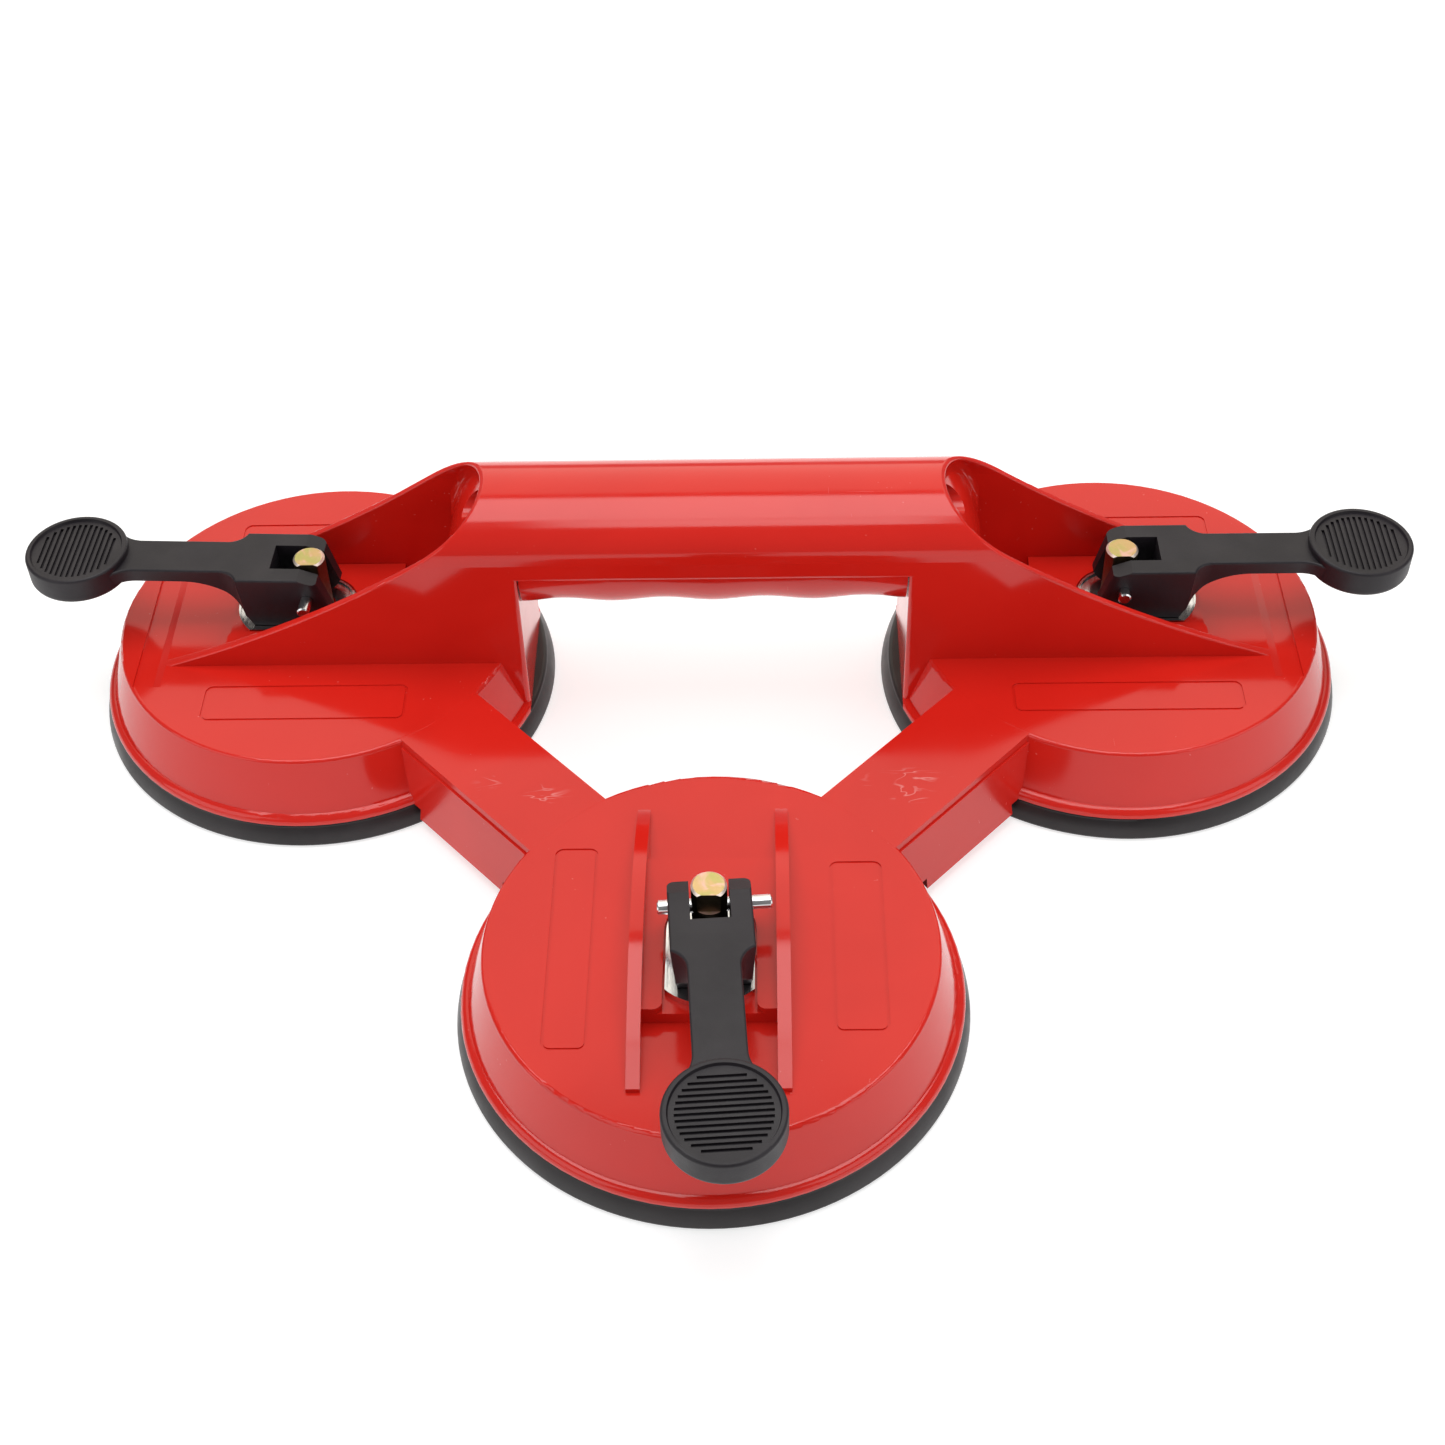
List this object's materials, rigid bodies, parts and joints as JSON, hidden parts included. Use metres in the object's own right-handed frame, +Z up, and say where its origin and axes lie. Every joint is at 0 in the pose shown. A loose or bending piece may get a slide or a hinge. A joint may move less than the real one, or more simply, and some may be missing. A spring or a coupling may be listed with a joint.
{
  "type": "vacuum suction cup lifter",
  "caption": "Triangular suction lifter: moulded frame with bridge handle, rubber pads on steel stems, and cam levers that pull each pad up to grip a flat sheet.",
  "frame": {"origin": "bottom centre of the object's box, on the surface that the pads stand on", "axes": "+X along the handle, +Y from the single front cup to the pair of rear cups, +Z up, away from the sheet"},
  "size_m": [0.3489, 0.2393, 0.067],
  "materials": {
    "red_abs": "glossy moulded ABS",
    "black_rubber": "satin moulded rubber",
    "black_nylon": "satin fine-grained nylon",
    "yellow_zinc": "yellow-passivated zinc plating",
    "bright_steel": "bright nickel-plated steel"
  },
  "bodies": {
    "frame": {"frame_body": "red_abs", "grip_insert": "red_abs", "front_rubber_pad": "black_rubber", "front_wear_plate": "bright_steel", "left_rubber_pad": "black_rubber", "left_wear_plate": "bright_steel", "right_rubber_pad": "black_rubber", "right_wear_plate": "bright_steel"},
    "front_stem_unit": {"front_stem": "yellow_zinc", "front_backing_plate": "bright_steel", "front_cross_pin": "bright_steel"},
    "front_lever_unit": {"front_cam_lever": "black_nylon"},
    "left_stem_unit": {"left_stem": "yellow_zinc", "left_backing_plate": "bright_steel", "left_cross_pin": "bright_steel"},
    "left_lever_unit": {"left_cam_lever": "black_nylon"},
    "right_stem_unit": {"right_stem": "yellow_zinc", "right_backing_plate": "bright_steel", "right_cross_pin": "bright_steel"},
    "right_lever_unit": {"right_cam_lever": "black_nylon"}
  },
  "joints": [
    {"name": "front_stem_slide", "type": "slide", "parent": "frame", "child": "front_stem_unit", "axis": [0, 0, 1], "range_m": [-0.003, 0]},
    {"name": "front_lever_hinge", "type": "hinge", "parent": "front_stem_unit", "child": "front_lever_unit", "pos_m": [0, -0.04766, 0.0366], "axis": [-0.9979, -0.0645, 0], "range_deg": [0, 90]},
    {"name": "left_stem_slide", "type": "slide", "parent": "frame", "child": "left_stem_unit", "axis": [0, 0, 1], "range_m": [-0.003, 0]},
    {"name": "left_lever_hinge", "type": "hinge", "parent": "left_stem_unit", "child": "left_lever_unit", "pos_m": [-0.1024, 0.06064, 0.0366], "axis": [0.0401, 0.9992, 0], "range_deg": [0, 90]},
    {"name": "right_stem_slide", "type": "slide", "parent": "frame", "child": "right_stem_unit", "axis": [0, 0, 1], "range_m": [-0.003, 0]},
    {"name": "right_lever_hinge", "type": "hinge", "parent": "right_stem_unit", "child": "right_lever_unit", "pos_m": [0.1024, 0.06064, 0.0366], "axis": [0, -1, 0], "range_deg": [0, 90]}
  ],
  "couplings": [
    {"joint": "front_stem_slide", "follows": "front_lever_hinge", "m_per_rad": -0.0019099},
    {"joint": "left_stem_slide", "follows": "left_lever_hinge", "m_per_rad": -0.0019099},
    {"joint": "right_stem_slide", "follows": "right_lever_hinge", "m_per_rad": -0.0019099}
  ]
}
